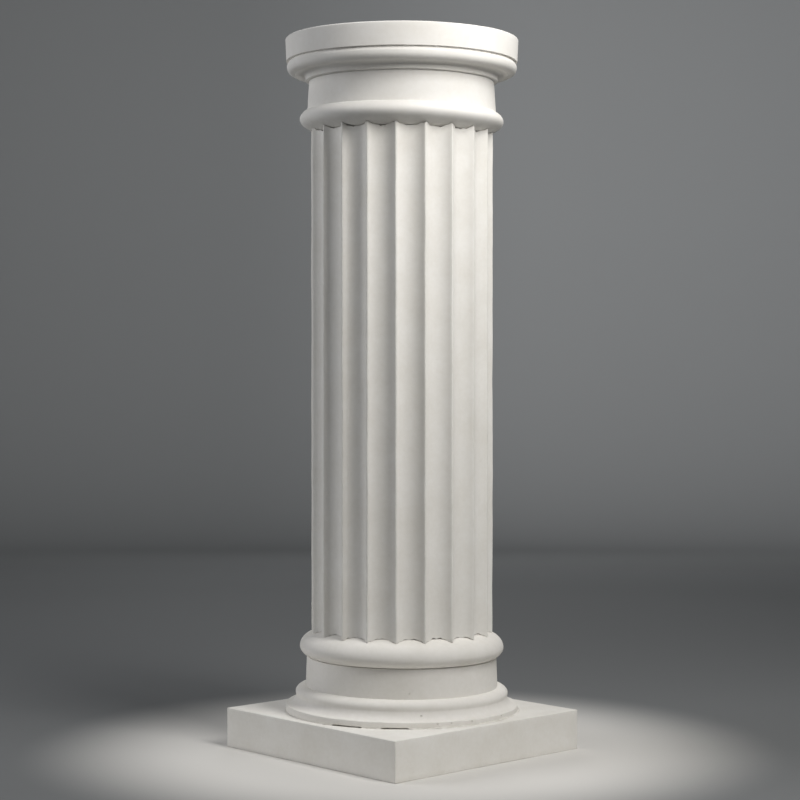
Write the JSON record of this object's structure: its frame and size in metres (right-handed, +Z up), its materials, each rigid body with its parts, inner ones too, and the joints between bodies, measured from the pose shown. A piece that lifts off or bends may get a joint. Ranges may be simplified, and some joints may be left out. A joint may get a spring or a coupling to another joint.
{
  "type": "doric column pedestal",
  "caption": "Plaster column pedestal: square plinth, moulded round base, fluted shaft with narrow arrises, round capital with a flat top that carries a bust, vase or lamp.",
  "frame": {"origin": "centre of the plinth's underside", "axes": "+Z up along the column's axis; X and Y square to the plinth's sides"},
  "size_m": [0.3, 0.3, 0.8532],
  "materials": {
    "plinth_plaster": "matt cast gypsum plaster, scraped, with light wear on the edges",
    "base_plaster": "matt cast gypsum plaster, sanded",
    "shaft_plaster": "matt cast gypsum plaster, sanded along the flutes",
    "capital_plaster": "matt cast gypsum plaster, smooth"
  },
  "bodies": {
    "root": {"plinth": "plinth_plaster", "base": "base_plaster", "shaft": "shaft_plaster", "capital": "capital_plaster"}
  },
  "joints": []
}
